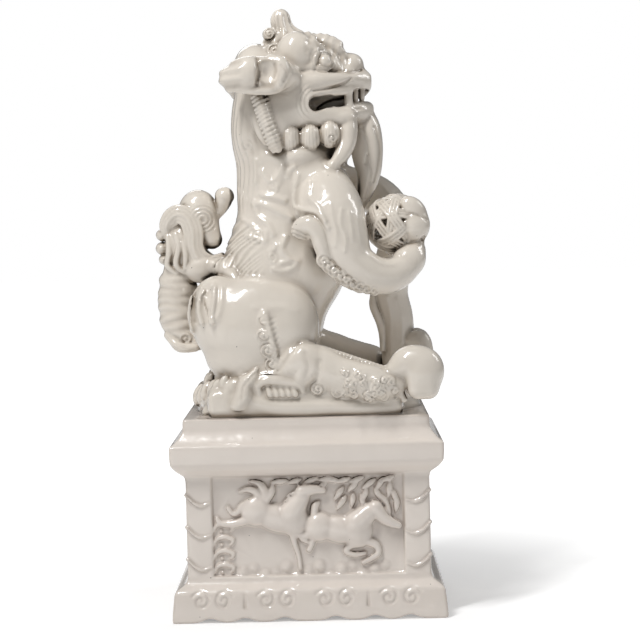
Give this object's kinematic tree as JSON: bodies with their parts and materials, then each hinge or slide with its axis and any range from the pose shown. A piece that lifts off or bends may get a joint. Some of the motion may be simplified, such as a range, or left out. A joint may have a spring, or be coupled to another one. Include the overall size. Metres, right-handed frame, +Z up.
{
  "type": "foo dog statue",
  "caption": "Seated guardian dog in white glazed ceramic, one forepaw raised to an openwork ball, on a box plinth with relief panels",
  "frame": {"origin": "middle of the bounding box in X and Y, on the surface that the plinth stands on", "axes": "+X the way the dog faces, +Y its left flank, +Z up"},
  "size_m": [0.2591, 0.1714, 0.5299],
  "materials": {
    "body_glaze": "gloss",
    "plinth_glaze": "gloss"
  },
  "bodies": {
    "root": {"plinth": "plinth_glaze", "ground": "body_glaze", "torso": "body_glaze", "head": "body_glaze", "lower_jaw": "body_glaze", "crest": "body_glaze", "right_ear": "body_glaze", "left_ear": "body_glaze", "right_eye": "body_glaze", "left_eye": "body_glaze", "right_fang": "body_glaze", "left_fang": "body_glaze", "right_mane_roll": "body_glaze", "left_mane_roll": "body_glaze", "right_cheek_curls": "body_glaze", "left_cheek_curls": "body_glaze", "right_chin_tuft": "body_glaze", "left_chin_tuft": "body_glaze", "beard": "body_glaze", "right_foreleg": "body_glaze", "left_foreleg": "body_glaze", "ribbon_ball": "body_glaze", "right_hind_leg": "body_glaze", "left_hind_leg": "body_glaze", "right_hind_foot": "body_glaze", "left_hind_foot": "body_glaze", "tail_trunk": "body_glaze", "tail_plume": "body_glaze"}
  },
  "joints": []
}
